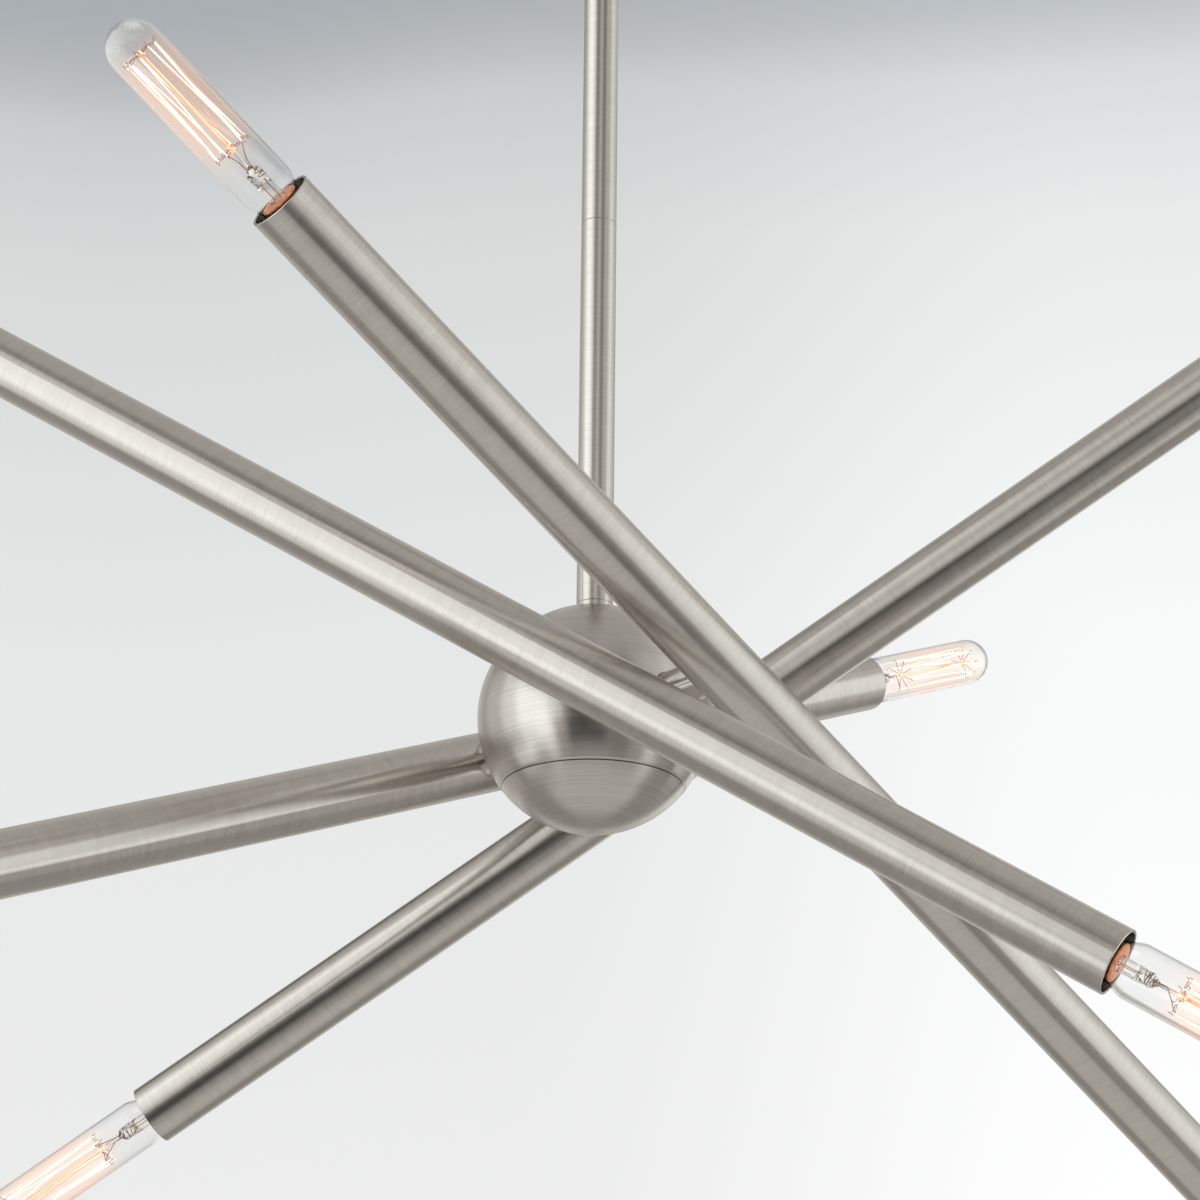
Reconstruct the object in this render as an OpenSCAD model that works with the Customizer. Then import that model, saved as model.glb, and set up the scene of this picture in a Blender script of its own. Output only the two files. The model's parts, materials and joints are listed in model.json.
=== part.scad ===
// Linear chandelier: four tilted light tubes round a spherical hub on a ceiling stem.
// Millimetres. Origin at the centre of the ceiling plate, on the ceiling plane, +Z up.
// X is the long direction of the fixture, -Y is its front.

/* [Light tubes] */
// Outside diameter of a light tube
tube_d = 38.1; // [36:0.1:44]
// Wall thickness of a light tube
tube_wall = 1.5; // [1:0.1:2]
// Distance from the neck to the rim of the tube's short side
short_side = 372; // [300:1:450]
// Distance from the neck to the rim of the tube's long side
long_side = 571; // [460:1:700]
// Distance from the centre of the hub to the axis of a tube
neck_reach = 116; // [108:1:135]
// Angle between each neck and the fixture's cross axis
neck_spread = 27.5; // [26:0.5:34]
// Tilt of the front right tube below the horizontal
tilt_front_right = 30.3; // [20:0.1:45]
// Tilt of the front left tube below the horizontal
tilt_front_left = 32.2; // [20:0.1:45]
// Tilt of the rear right tube below the horizontal
tilt_rear_right = 32.3; // [20:0.1:45]
// Tilt of the rear left tube below the horizontal
tilt_rear_left = 21.8; // [20:0.1:45]
// Least tilt, where the stop pin meets one end of its slot
tilt_min = 20; // [18:1:24]
// Greatest tilt, where the stop pin meets the other end
tilt_max = 45; // [36:1:50]

/* [Necks] */
// Outside diameter of a neck
neck_d = 22.2; // [19:0.1:24]
// Diameter of the spigot that turns in the hub core
spigot_d = 10; // [9:0.1:11]
// Diameter of the tenon that enters the tube
tenon_d = 14; // [12:0.1:16]
// Bore of a neck, for the lamp leads
neck_bore = 6.4; // [5:0.1:7]
// Width of a neck nut across its flats
neck_nut_af = 14; // [13:0.1:15]
// Thickness of a neck nut
neck_nut_t = 5; // [4:0.1:6]
// Diameter of a stop pin
stop_pin_d = 2; // [1.6:0.1:2.4]
// Distance of the stop pin from the neck's axis
stop_radius = 8; // [7.6:0.1:8.6]
// Depth of the stop pin in the core, and of its slot in the neck
stop_depth = 2.5; // [2:0.1:3]
// Length of spigot that stands out beyond its nut
spigot_out = 2; // [1:0.5:4]
// Depth of the flat seats that are cut into the round hub core
seat_cut = 0.2; // [0.1:0.1:0.6]

/* [Hub] */
// Outside diameter of the ball
ball_d = 138; // [130:1:150]
// Wall thickness of the ball
ball_wall = 1.5; // [1.2:0.1:2]
// Depth of the ball's seam below its centre
seam_drop = 43; // [38:1:48]
// Diameter of the hub core
core_d = 72; // [66:1:80]
// Height of the hub core
core_h = 36; // [34:1:44]
// Wall thickness of the hub core round its wire room
core_wall = 12; // [10:0.5:13]
// Thickness of the hub core's top web
core_web = 5; // [4:0.1:6]
// Length of thread in the boss of the hub core
boss_thread = 15; // [10:1:20]
// Width of the threaded ring that joins the two parts of the ball
seam_ring_w = 4; // [3:0.1:6]
// Height of that threaded ring
seam_ring_h = 7; // [5:0.1:9]
// Thickness of the flange behind the seam of the lower part
flange_t = 2; // [1.5:0.1:3]
// Bevel on both edges of the seam
seam_bevel = 0.5; // [0.3:0.1:0.8]

/* [Stem] */
// Outside diameter of the stem rods
rod_d = 22.2; // [19:0.1:26]
// Wall thickness of the stem rods
rod_wall = 1.5; // [1.2:0.1:2]
// Length of the lower rod
lower_rod = 257; // [150:1:400]
// Length of the upper rod
upper_rod_len = 305; // [150:1:600]
// Length of thread in each end of a rod
rod_thread = 12; // [9:0.5:16]
// Height of the collar on the ball
collar_h = 4.6; // [3:0.1:8]
// Outside diameter of the threaded nipples
nipple_d = 9.8; // [9:0.1:11]
// Bore of the threaded nipples
nipple_bore = 6.8; // [5:0.1:7.5]

/* [Ceiling] */
// Outside diameter of the canopy
canopy_d = 127; // [118:1:150]
// Depth of the canopy
canopy_h = 25; // [20:1:40]
// Wall thickness of the canopy
canopy_wall = 1.2; // [1:0.1:1.6]
// Radius of the canopy's rounded edge
canopy_edge = 10; // [6:1:14]
// Length of the ceiling crossbar
bar_l = 112; // [108:1:114]
// Width of the ceiling crossbar
bar_w = 22; // [18:1:26]
// Thickness of the ceiling crossbar
bar_t = 2.5; // [2:0.1:3]
// Spacing of the two slots for the ceiling box screws
box_spacing = 88.9; // [86:0.1:90]
// Width of those slots
box_slot_w = 5; // [4.4:0.1:6]
// Length of those slots
box_slot_l = 12; // [8:0.5:14]
// Spacing of the two studs that hold the canopy
stud_spacing = 64; // [58:1:68]
// Diameter of the canopy studs
stud_d = 4; // [3:0.1:5]
// Diameter of the cap nuts
cap_nut_d = 10; // [8:0.1:12]
// Height of the cap nuts
cap_nut_h = 8; // [7:0.1:10]
// Width of the nipple nut across its flats
nipple_nut_af = 17; // [15:0.1:19]
// Thickness of the nipple nut
nipple_nut_t = 5; // [4:0.1:6]

/* [Sockets and bulbs] */
// Length of a lamp socket
socket_l = 27; // [24:1:30]
// Thickness of a socket's floor
socket_floor = 8; // [5:0.5:10]
// Diameter of a bulb's glass
bulb_d = 31.6; // [30:0.1:32.4]
// Length of glass that stands out of the tube
bulb_out = 126; // [124:1:150]
// Diameter of the glass at its neck
glass_neck_d = 24.6; // [23:0.1:25.2]
// Wall thickness of the glass
glass_wall = 0.9; // [0.6:0.1:1.2]
// Diameter of a bulb's screw cap
cap_d = 26.2; // [25.8:0.1:26.6]
// Length of a bulb's screw cap with its contact
cap_l = 26; // [24:1:28]
// Diameter of the contact button under the screw cap
contact_d = 12.8; // [11:0.1:14]
// Height of the insulator between the contact and the screw cap's shell
cap_floor = 6; // [4.5:0.5:8]
// Depth of the bulb's contact inside the rim
contact_depth = 30; // [28:1:34]
// Depth of the glass in the screw cap
glass_seat = 4; // [3:0.5:6]
// Length over which the glass widens from its neck
shoulder_h = 14; // [10:1:18]
// Height of the flare at the foot of the glass stem
flare_h = 8; // [6:1:10]
// Diameter of the glass tube of the stem
stem_tube_d = 7; // [6:0.1:8]
// Distance of the stem's pinch from the rim
pinch_out = 18; // [11:1:20]
// Diameter of the glass rod between the buttons
glass_rod_d = 2.2; // [1.6:0.1:3]
// Diameter of the two glass buttons
button_d = 5.2; // [4:0.1:7]
// Radius of the filament cage
cage_r = 10.4; // [8:0.1:11.5]
// Length of the filament cage
cage_l = 68; // [60:1:80]
// Distance from the top of the cage to the tip of the glass
cage_from_tip = 20; // [18:1:28]
// Number of hooks at the foot of the cage
foot_hooks = 8; // [5:1:9]
// Diameter of a filament strand
strand_d = 0.5; // [0.4:0.1:0.7]
// Diameter of a hook wire
hook_d = 0.8; // [0.6:0.1:1]

/* [Fits] */
// Radial clearance of a spigot in the hub core
turn_fit = 0.05; // [0.02:0.01:0.1]
// Clearance between parts that move past each other
free_gap = 0.3; // [0.2:0.05:0.5]
// Radial clearance of a fastener in a plain hole
hole_gap = 0.15; // [0.1:0.05:0.3]
// Small bevel on turned edges
edge_bevel = 0.3; // [0.2:0.1:0.4]

/* [Hidden] */
$fn = 96;

ARMS = ["front_right", "front_left", "rear_right", "rear_left"];
ENDS = ["short", "long"];
// Direction of each neck from the +X axis
ARM_AZIMUTH = [-(90 - neck_spread), -(90 + neck_spread), 90 - neck_spread, 90 + neck_spread];
ARM_TILT = [tilt_front_right, tilt_front_left, tilt_rear_right, tilt_rear_left];
// The tilt lowers the +Y side in the frame of the arm. The sign says where the short side lies.
SHORT_SIGN = [-1, 1, 1, -1];
SIDE_LENGTH = [short_side, long_side];

ARM_NODES = [for (a = ARMS, part = ["tube_", "neck_", "neck_nut_"]) str(part, a)];
END_PARTS = ["socket_", "bulb_base_", "bulb_glass_", "bulb_mount_"];
END_NODES = [for (a = ARMS, e = ENDS, part = END_PARTS) str(part, a, "_", e)];

tube_r = tube_d / 2;
tube_bore_r = tube_r - tube_wall;
neck_r = neck_d / 2;
spigot_r = spigot_d / 2;
tenon_r = tenon_d / 2;
ball_r = ball_d / 2;
ball_in_r = ball_r - ball_wall;
core_r = core_d / 2;
room_r = core_r - core_wall;
rod_r = rod_d / 2;
nipple_r = nipple_d / 2;
canopy_r = canopy_d / 2;
bar_r = bar_l / 2;
glass_r = bulb_d / 2;
cap_r = cap_d / 2;
hex_ratio = 1 / cos(30);
over = 1;

// Flat seats that the necks and their nuts bear on, as distances from the hub's axis
seat_out = sqrt(core_r * core_r - neck_r * neck_r) - seat_cut;
nut_corner_r = neck_nut_af / 2 * hex_ratio;
nut_seat_r = nut_corner_r + free_gap;
seat_in = room_r + 1;
spigot_end = seat_in - neck_nut_t - spigot_out;
pin_r = stop_pin_d / 2;

// Heights on the stem, from the ceiling down
rod_top_z = -canopy_h;
joint_z = rod_top_z - upper_rod_len;
rod_foot_z = joint_z - lower_rod;
ball_seat = sqrt(ball_r * ball_r - rod_r * rod_r);
hub_z = rod_foot_z - collar_h - ball_seat;
wire_bore_r = nipple_r + 1;

// The seam of the ball
seam_r = sqrt(ball_r * ball_r - seam_drop * seam_drop);
ring_out_r = sqrt(ball_in_r * ball_in_r - seam_drop * seam_drop);
ring_in_r = ring_out_r - seam_ring_w;
cap_ring_r = ring_in_r - seam_ring_w / 2;

// Bulb heights, from the rim plane outwards
tip_z = bulb_out;
cap_top = cap_l - contact_depth;
glass_foot = cap_top - glass_seat;
shoulder_foot = cap_top + 1;
shoulder_top = shoulder_foot + shoulder_h;
cage_top = tip_z - cage_from_tip;
cage_foot = cage_top - cage_l;
// Distance from the axis at which the hooks start inside the buttons
hook_root = 0.3 * button_d;
flare_top = glass_foot + flare_h;
arc_steps = 14;
wire_sides = 16;

nickel = [0.66, 0.64, 0.60];
zinc = [0.75, 0.76, 0.78];
phenolic = [0.09, 0.08, 0.08];
brass = [0.80, 0.62, 0.34];
clear_glass = [0.95, 0.93, 0.88, 0.35];
stem_glass = [0.93, 0.80, 0.62];

// Places children in an arm: X runs out along its neck, Y runs along its tube
module in_arm(i) {
    translate([0, 0, hub_z])
        rotate([0, 0, ARM_AZIMUTH[i]])
            rotate([-ARM_TILT[i], 0, 0])
                children();
}

// Places children at the rim of one end of a tube, with Z pointing out of it
module at_end(i, j) {
    side = SHORT_SIGN[i] * (j == 0 ? 1 : -1);
    in_arm(i)
        translate([neck_reach, side * SIDE_LENGTH[j], 0])
            rotate([-90 * side, 0, 0])
                children();
}

// A cylinder between two distances along the neck's axis
module along_neck(from, to, r) {
    translate([from, 0, 0])
        rotate([0, 90, 0])
            cylinder(h = to - from, r = r);
}

// A ring between two heights
module ring(from, to, r_in, r_out) {
    translate([0, 0, from])
        difference() {
            cylinder(h = to - from, r = r_out);
            translate([0, 0, -over])
                cylinder(h = to - from + 2 * over, r = r_in);
        }
}

// A ring section with bevelled corners, r_in to r_out and 0 to h
function bevelled(r_in, r_out, h, b) = [
    [r_in + b, 0],
    [r_out - b, 0],
    [r_out, b],
    [r_out, h - b],
    [r_out - b, h],
    [r_in + b, h],
    [r_in, h - b],
    [r_in, b]
];

// Points on an arc about c, from angle a0 to angle a1
function arc(c, r, a0, a1, n) = [
    for (k = [0:n]) let (a = a0 + (a1 - a0) * k / n) [c[0] + r * cos(a), c[1] + r * sin(a)]
];

// A hexagonal nut standing on the XY plane
module hex_nut(af, bore_r, t) {
    difference() {
        cylinder(h = t, r = af / 2 * hex_ratio, $fn = 6);
        translate([0, 0, -over])
            cylinder(h = t + 2 * over, r = bore_r);
    }
}

// A threaded nipple between two heights
module nipple(from, to) {
    color(zinc)
        ring(from, to, nipple_bore / 2, nipple_r);
}

// A rod of the stem with a threaded plug in each end
module rod(foot, length) {
    color(nickel)
        translate([0, 0, foot])
            rotate_extrude()
                polygon([
                    [nipple_r, 0],
                    [rod_r - edge_bevel, 0],
                    [rod_r, edge_bevel],
                    [rod_r, length - edge_bevel],
                    [rod_r - edge_bevel, length],
                    [nipple_r, length],
                    [nipple_r, length - rod_thread],
                    [rod_r - rod_wall, length - rod_thread],
                    [rod_r - rod_wall, rod_thread],
                    [nipple_r, rod_thread]
                ]);
}

module ceiling_crossbar() {
    color(zinc)
        translate([0, 0, -bar_t])
            difference() {
                linear_extrude(bar_t)
                    difference() {
                        intersection() {
                            square([bar_l, bar_w], center = true);
                            circle(r = bar_r);
                        }
                        for (side = [-1, 1])
                            translate([side * box_spacing / 2, 0])
                                box_slot();
                    }
                translate([0, 0, -over])
                    cylinder(h = bar_t + 2 * over, r = nipple_r);
                for (side = [-1, 1])
                    translate([side * stud_spacing / 2, 0, -over])
                        cylinder(h = bar_t + 2 * over, r = stud_d / 2);
            }
}

// A slot with round ends along X, centred on the origin
module box_slot() {
    run = box_slot_l - box_slot_w;
    square([run, box_slot_w], center = true);
    for (side = [-1, 1])
        translate([side * run / 2, 0])
            circle(d = box_slot_w);
}

module canopy() {
    outer = arc([canopy_r - canopy_edge, canopy_edge], canopy_edge, -90, 0, arc_steps);
    inner_edge = canopy_edge - canopy_wall;
    inner = arc([canopy_r - canopy_edge, canopy_edge], inner_edge, 0, -90, arc_steps);
    hole_r = nipple_r + hole_gap;
    color(nickel)
        translate([0, 0, -canopy_h])
            difference() {
                rotate_extrude()
                    polygon(concat(
                        [[hole_r, 0]],
                        outer,
                        [[canopy_r, canopy_h], [canopy_r - canopy_wall, canopy_h]],
                        inner,
                        [[hole_r, canopy_wall]]
                    ));
                for (side = [-1, 1])
                    translate([side * stud_spacing / 2, 0, -over])
                        cylinder(h = canopy_wall + 2 * over, r = stud_d / 2 + hole_gap);
            }
}

module canopy_studs() {
    length = canopy_h + cap_nut_h - 2;
    color(zinc)
        for (side = [-1, 1])
            translate([side * stud_spacing / 2, 0, -length])
                cylinder(h = length, r = stud_d / 2);
}

module canopy_cap_nuts() {
    nut_r = cap_nut_d / 2;
    crown_start = -75;
    color(nickel)
        for (side = [-1, 1])
            translate([side * stud_spacing / 2, 0, -canopy_h])
                difference() {
                    translate([0, 0, -cap_nut_h])
                        rotate_extrude()
                            polygon(concat(
                                [[0, cap_nut_h]],
                                [[0, 0]],
                                arc([0, nut_r], nut_r, crown_start, 0, arc_steps),
                                [[nut_r, cap_nut_h]]
                            ));
                    translate([0, 0, 2 - cap_nut_h])
                        cylinder(h = cap_nut_h, r = stud_d / 2);
                }
}

module canopy_nipple() {
    nipple(rod_top_z - rod_thread, 0);
}

module nipple_nut() {
    color(zinc)
        translate([0, 0, -bar_t - nipple_nut_t])
            hex_nut(nipple_nut_af, nipple_r, nipple_nut_t);
}

module upper_rod() {
    rod(joint_z, upper_rod_len);
}

module rod_coupler() {
    nipple(joint_z - rod_thread, joint_z + rod_thread);
}

module lower_rod_tube() {
    rod(rod_foot_z, lower_rod);
}

module hub_nipple() {
    nipple(hub_z + ball_in_r - boss_thread, rod_foot_z + rod_thread);
}

// The collar is hollowed underneath to sit on the ball
module ball_collar() {
    color(nickel)
        translate([0, 0, hub_z])
            difference() {
                translate([0, 0, ball_seat])
                    rotate_extrude()
                        polygon(bevelled(nipple_r, rod_r, collar_h, edge_bevel));
                sphere(r = ball_r);
            }
}

// The hollow ball, before it is parted at the seam
module ball_shell() {
    difference() {
        sphere(r = ball_r);
        sphere(r = ball_in_r);
    }
}

// The bevelled groove that marks the seam
module seam_groove() {
    translate([0, 0, -seam_drop - seam_bevel])
        rotate_extrude()
            polygon([
                [seam_r - seam_bevel, seam_bevel],
                [seam_r + over, -over],
                [seam_r + over, 2 * seam_bevel + over]
            ]);
}

module ball_upper() {
    color(nickel)
        translate([0, 0, hub_z])
            difference() {
                union() {
                    intersection() {
                        ball_shell();
                        translate([0, 0, -seam_drop])
                            cylinder(h = ball_d, r = ball_d);
                    }
                    intersection() {
                        ring(-seam_drop, seam_ring_h - seam_drop, ring_in_r, ball_r);
                        sphere(r = ball_in_r + ball_wall / 2);
                    }
                }
                seam_groove();
                cylinder(h = ball_d, r = nipple_r + hole_gap);
                for (azimuth = ARM_AZIMUTH)
                    rotate([0, 0, azimuth])
                        along_neck(core_r, ball_d, neck_r + free_gap);
            }
}

module ball_lower() {
    color(nickel)
        translate([0, 0, hub_z])
            difference() {
                union() {
                    intersection() {
                        ball_shell();
                        translate([0, 0, -seam_drop - ball_d])
                            cylinder(h = ball_d, r = ball_d);
                    }
                    intersection() {
                        ring(-seam_drop - flange_t, -seam_drop, cap_ring_r, ball_r);
                        sphere(r = ball_in_r + ball_wall / 2);
                    }
                    ring(-seam_drop - flange_t, seam_ring_h - seam_drop, cap_ring_r, ring_in_r);
                }
                seam_groove();
            }
}

// The core carries the necks and is clamped under the top of the ball
module hub_core() {
    room_top = core_h / 2 - core_web;
    color(zinc)
        translate([0, 0, hub_z])
            difference() {
                union() {
                    translate([0, 0, -core_h / 2])
                        cylinder(h = core_h, r = core_r);
                    intersection() {
                        cylinder(h = ball_r, r = rod_r);
                        sphere(r = ball_in_r);
                    }
                }
                translate([0, 0, -core_h / 2 - over])
                    cylinder(h = room_top + core_h / 2 + over, r = room_r);
                cylinder(h = ball_in_r - boss_thread, r = wire_bore_r);
                cylinder(h = ball_d, r = nipple_r);
                for (azimuth = ARM_AZIMUTH)
                    rotate([0, 0, azimuth]) {
                        along_neck(room_r / 2, core_d, spigot_r + turn_fit);
                        along_neck(room_r / 2, seat_in, nut_seat_r);
                        along_neck(seat_out, core_d, neck_r + free_gap);
                        translate([0, 0, stop_radius])
                            along_neck(seat_out - stop_depth, core_d, pin_r);
                    }
            }
}

// Each pin stands in the core and runs in the slot of a neck
module stop_pins() {
    color(zinc)
        translate([0, 0, hub_z])
            for (azimuth = ARM_AZIMUTH)
                rotate([0, 0, azimuth])
                    translate([0, 0, stop_radius])
                        along_neck(seat_out - stop_depth, seat_out + stop_depth - free_gap, pin_r);
}

// The slot of the stop pin, from the least to the greatest tilt
module stop_slot() {
    half_w = pin_r + hole_gap;
    translate([seat_out - over, 0, 0])
        rotate([0, 90, 0]) {
            rotate([0, 0, 180 + tilt_min])
                rotate_extrude(angle = tilt_max - tilt_min)
                    translate([stop_radius - half_w, 0])
                        square([2 * half_w, stop_depth + over]);
            for (tilt = [tilt_min, tilt_max])
                rotate([0, 0, 180 + tilt])
                    translate([stop_radius, 0, 0])
                        cylinder(h = stop_depth + over, r = half_w);
        }
}

module tube(i) {
    length = short_side + long_side;
    start = SHORT_SIGN[i] < 0 ? short_side : long_side;
    color(nickel)
        in_arm(i)
            translate([neck_reach, 0, 0])
                difference() {
                    translate([0, -start, 0])
                        rotate([-90, 0, 0])
                            rotate_extrude()
                                polygon(bevelled(tube_bore_r, tube_r, length, edge_bevel));
                    along_neck(-neck_reach, 0, tenon_r);
                }
}

// A neck seats in a saddle on its tube and turns on its spigot in the core
module neck(i) {
    tenon_end = neck_reach - sqrt(tube_bore_r * tube_bore_r - tenon_r * tenon_r) + over;
    color(nickel)
        in_arm(i)
            difference() {
                union() {
                    difference() {
                        along_neck(seat_out, neck_reach, neck_r);
                        translate([neck_reach, -neck_d, 0])
                            rotate([-90, 0, 0])
                                cylinder(h = 2 * neck_d, r = tube_r);
                        stop_slot();
                    }
                    along_neck(spigot_end, seat_out + over, spigot_r);
                    along_neck(neck_reach - tube_d, tenon_end, tenon_r);
                }
                along_neck(0, neck_reach, neck_bore / 2);
            }
}

module neck_nut(i) {
    color(zinc)
        in_arm(i)
            translate([seat_in - neck_nut_t, 0, 0])
                rotate([0, 90, 0])
                    hex_nut(neck_nut_af, spigot_r, neck_nut_t);
}

// The socket is pressed into the tube and takes the bulb's screw cap
module socket(i, j) {
    floor_z = -contact_depth - socket_floor;
    color(phenolic)
        at_end(i, j)
            translate([0, 0, floor_z])
                difference() {
                    rotate_extrude()
                        polygon(bevelled(neck_bore / 2, tube_bore_r, socket_l, edge_bevel));
                    translate([0, 0, socket_floor])
                        cylinder(h = socket_l, r = cap_r + free_gap);
                }
}

// The screw cap tapers to its contact in three steps
module bulb_base(i, j) {
    contact_r = contact_d / 2;
    neck_r_out = glass_neck_d / 2;
    color(brass)
        at_end(i, j)
            translate([0, 0, -contact_depth])
                rotate_extrude()
                    polygon([
                        [0, 0],
                        [contact_r - 1, 0],
                        [contact_r, 1],
                        [cap_r - cap_floor / 2, cap_floor - 2],
                        [cap_r, cap_floor - 1],
                        [cap_r, cap_l],
                        [neck_r_out, cap_l],
                        [neck_r_out, cap_l - glass_seat - 1],
                        [neck_r_out - cap_floor / 2, cap_floor],
                        [0, cap_floor]
                    ]);
}

// Outline of the glass at a distance inside its outer face, from the foot to the tip
function glass_line(inset) = let (
    r = glass_r - inset,
    neck = glass_neck_d / 2 - inset,
    top = tip_z - glass_r
) concat(
    [[neck, glass_foot]],
    [for (k = [0:arc_steps]) let (t = k / arc_steps) [
        neck + (r - neck) * (1 - cos(180 * t)) / 2,
        shoulder_foot + (shoulder_top - shoulder_foot) * t
    ]],
    [for (k = [0:arc_steps]) let (a = 90 * k / arc_steps) [
        r * cos(a),
        top + r * sin(a)
    ]]
);

module bulb_glass(i, j) {
    inner = glass_line(glass_wall);
    last = len(inner) - 1;
    color(clear_glass)
        at_end(i, j)
            rotate_extrude()
                polygon(concat(glass_line(0), [for (k = [0:last]) inner[last - k]]));
}

// A round wire between two points
module wire(p, q, d) {
    v = q - p;
    run = norm(v);
    translate(p)
        rotate([0, acos(v[2] / run), atan2(v[1], v[0])])
            cylinder(h = run, r = d / 2, $fn = wire_sides);
}

// A point of the cage: hooks are numbered round it, and one place is left open
function cage_point(k, z, r = cage_r) = let (a = 360 * k / (foot_hooks + 0.5)) [r * cos(a), r * sin(a), z];

// The glass stem, the rod above it, the two buttons, the hooks, the leads and the filament
module bulb_mount(i, j) {
    neck_in = glass_neck_d / 2 - glass_wall;
    stem_r = stem_tube_d / 2;
    glass_rod_r = glass_rod_d / 2;
    button_r = button_d / 2;
    lead_r = stem_r - hook_d / 2;
    last = foot_hooks - 1;
    color(stem_glass)
        at_end(i, j) {
            rotate_extrude()
                polygon([
                    [0, glass_foot - 1],
                    [glass_neck_d / 2, glass_foot - 1],
                    [glass_neck_d / 2, glass_foot],
                    [neck_in - 1, glass_foot],
                    [stem_r + 1, flare_top - stem_r],
                    [stem_r, flare_top],
                    [stem_r, pinch_out],
                    [glass_rod_r, pinch_out + 4],
                    [glass_rod_r, cage_foot - 2],
                    [button_r, cage_foot - 1],
                    [button_r, cage_foot + 1],
                    [glass_rod_r, cage_foot + 2],
                    [glass_rod_r, cage_top - 2],
                    [button_r, cage_top - 1],
                    [button_r, cage_top + 1],
                    [0, cage_top + 2]
                ]);
            for (k = [0:last])
                wire(cage_point(k, cage_foot, hook_root), cage_point(k, cage_foot), hook_d);
            for (k = [0:last - 1])
                wire(cage_point(k + 0.5, cage_top, hook_root), cage_point(k + 0.5, cage_top), hook_d);
            for (k = [0:last - 1]) {
                wire(cage_point(k, cage_foot), cage_point(k + 0.5, cage_top), strand_d);
                wire(cage_point(k + 0.5, cage_top), cage_point(k + 1, cage_foot), strand_d);
            }
            for (k = [0:last])
                translate(cage_point(k, cage_foot))
                    sphere(d = 2 * hook_d, $fn = wire_sides);
            for (k = [0:last - 1])
                translate(cage_point(k + 0.5, cage_top))
                    sphere(d = 2 * hook_d, $fn = wire_sides);
            for (k = [0, last])
                wire([lead_r * cos(180 * k), 0, pinch_out - 2], cage_point(k, cage_foot), hook_d);
        }
}

ceiling_crossbar();
canopy();
canopy_studs();
canopy_cap_nuts();
canopy_nipple();
nipple_nut();
upper_rod();
rod_coupler();
lower_rod_tube();  // lower_rod
ball_collar();
hub_nipple();
ball_upper();
ball_lower();
hub_core();
stop_pins();
for (i = [0:3]) {
    tube(i);
    neck(i);
    neck_nut(i);
    for (j = [0:1]) {
        socket(i, j);
        bulb_base(i, j);
        bulb_glass(i, j);
        bulb_mount(i, j);
    }
}
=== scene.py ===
# Linear chandelier: four tilted tubes with filament lamps round a brushed ball on a ceiling stem.
import json
import math
import random

import bmesh
import bpy
from mathutils import Matrix, Vector


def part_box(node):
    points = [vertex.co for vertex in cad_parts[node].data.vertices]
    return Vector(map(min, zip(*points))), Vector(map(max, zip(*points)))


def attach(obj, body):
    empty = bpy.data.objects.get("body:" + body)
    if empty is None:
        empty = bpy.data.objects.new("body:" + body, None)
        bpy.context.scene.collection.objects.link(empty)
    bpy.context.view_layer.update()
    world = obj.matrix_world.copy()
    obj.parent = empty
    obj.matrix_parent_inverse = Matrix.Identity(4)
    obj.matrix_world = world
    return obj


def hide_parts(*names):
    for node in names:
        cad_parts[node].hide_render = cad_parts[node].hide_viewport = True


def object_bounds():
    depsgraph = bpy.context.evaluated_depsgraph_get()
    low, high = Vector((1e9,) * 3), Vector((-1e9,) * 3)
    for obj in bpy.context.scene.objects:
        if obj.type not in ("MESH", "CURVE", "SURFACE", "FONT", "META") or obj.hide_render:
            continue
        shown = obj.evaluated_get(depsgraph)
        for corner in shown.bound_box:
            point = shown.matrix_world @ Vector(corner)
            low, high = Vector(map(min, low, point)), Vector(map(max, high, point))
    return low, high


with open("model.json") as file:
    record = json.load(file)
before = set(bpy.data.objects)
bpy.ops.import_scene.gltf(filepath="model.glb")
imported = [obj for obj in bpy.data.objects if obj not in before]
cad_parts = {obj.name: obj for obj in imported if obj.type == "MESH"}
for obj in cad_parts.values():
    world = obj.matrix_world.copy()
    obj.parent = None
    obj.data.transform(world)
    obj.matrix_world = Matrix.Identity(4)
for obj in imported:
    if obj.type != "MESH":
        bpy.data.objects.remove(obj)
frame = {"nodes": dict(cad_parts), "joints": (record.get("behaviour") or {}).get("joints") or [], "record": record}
cad_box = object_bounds()

MM = 0.001
ARMS = ("front_right", "front_left", "rear_right", "rear_left")
ENDS = ("short", "long")
NODES = frame["nodes"]

# The camera hangs below the fixture and looks up at it. A perspective fit to the photograph gave its place.
CAMERA_PLACE = Vector((-0.41515, -1.84578, -1.32176))
CAMERA_HEADING = math.radians(12.772)
CAMERA_PITCH = math.radians(21.318)
CAMERA_ROLL = math.radians(0.61)
CAMERA_LENS = 100.99
SENSOR = 36.0

# Lamp sizes in millimetres, measured along the lamp from the rim of its tube
CAGE_FOOT = 38.0
CAGE_TOP = 106.0
CAGE_RADIUS = 10.4
PINCH = 18.0
STEM_RADIUS = 4.5
GLASS_ROD_RADIUS = 1.1
FOOT_HOOKS = 8
HOT_STRAND = 0.29
FAINT_STRAND = 0.20
WIRE_RADIUS = 0.26
FOOT_RADIUS = 11.2
FOOT_TOP = 1.2

# Studio brightness as the metal sees it: the floor, the dark wall above it and the ceiling
FLOOR_TONE = 0.58
WALL_TONE = 0.33
CEILING_TONE = 0.48

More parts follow.
